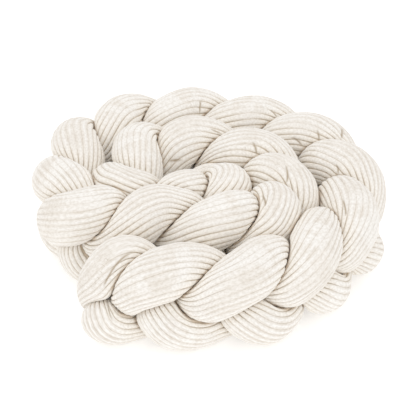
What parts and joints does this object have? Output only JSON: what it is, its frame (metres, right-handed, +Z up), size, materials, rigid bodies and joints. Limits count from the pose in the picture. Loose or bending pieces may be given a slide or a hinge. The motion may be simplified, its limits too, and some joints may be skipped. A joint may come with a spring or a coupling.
{
  "type": "braided crib bumper",
  "caption": "Stuffed corduroy tubes plaited together and wound into a low round coil, a soft bumper that lines the inside of a crib.",
  "frame": {"origin": "on the surface that the coil rests on, under the middle of its box", "axes": "+Z up out of the coil's top, the plait's outer end at the front left (-X, -Y), the coil wound anticlockwise seen from above"},
  "size_m": [0.48, 0.476, 0.1479],
  "materials": {
    "cream_corduroy": "matt wide-wale cotton corduroy with a short soft pile"
  },
  "bodies": {
    "root": {"strand_a": "cream_corduroy", "strand_b": "cream_corduroy", "strand_c": "cream_corduroy"}
  },
  "joints": []
}
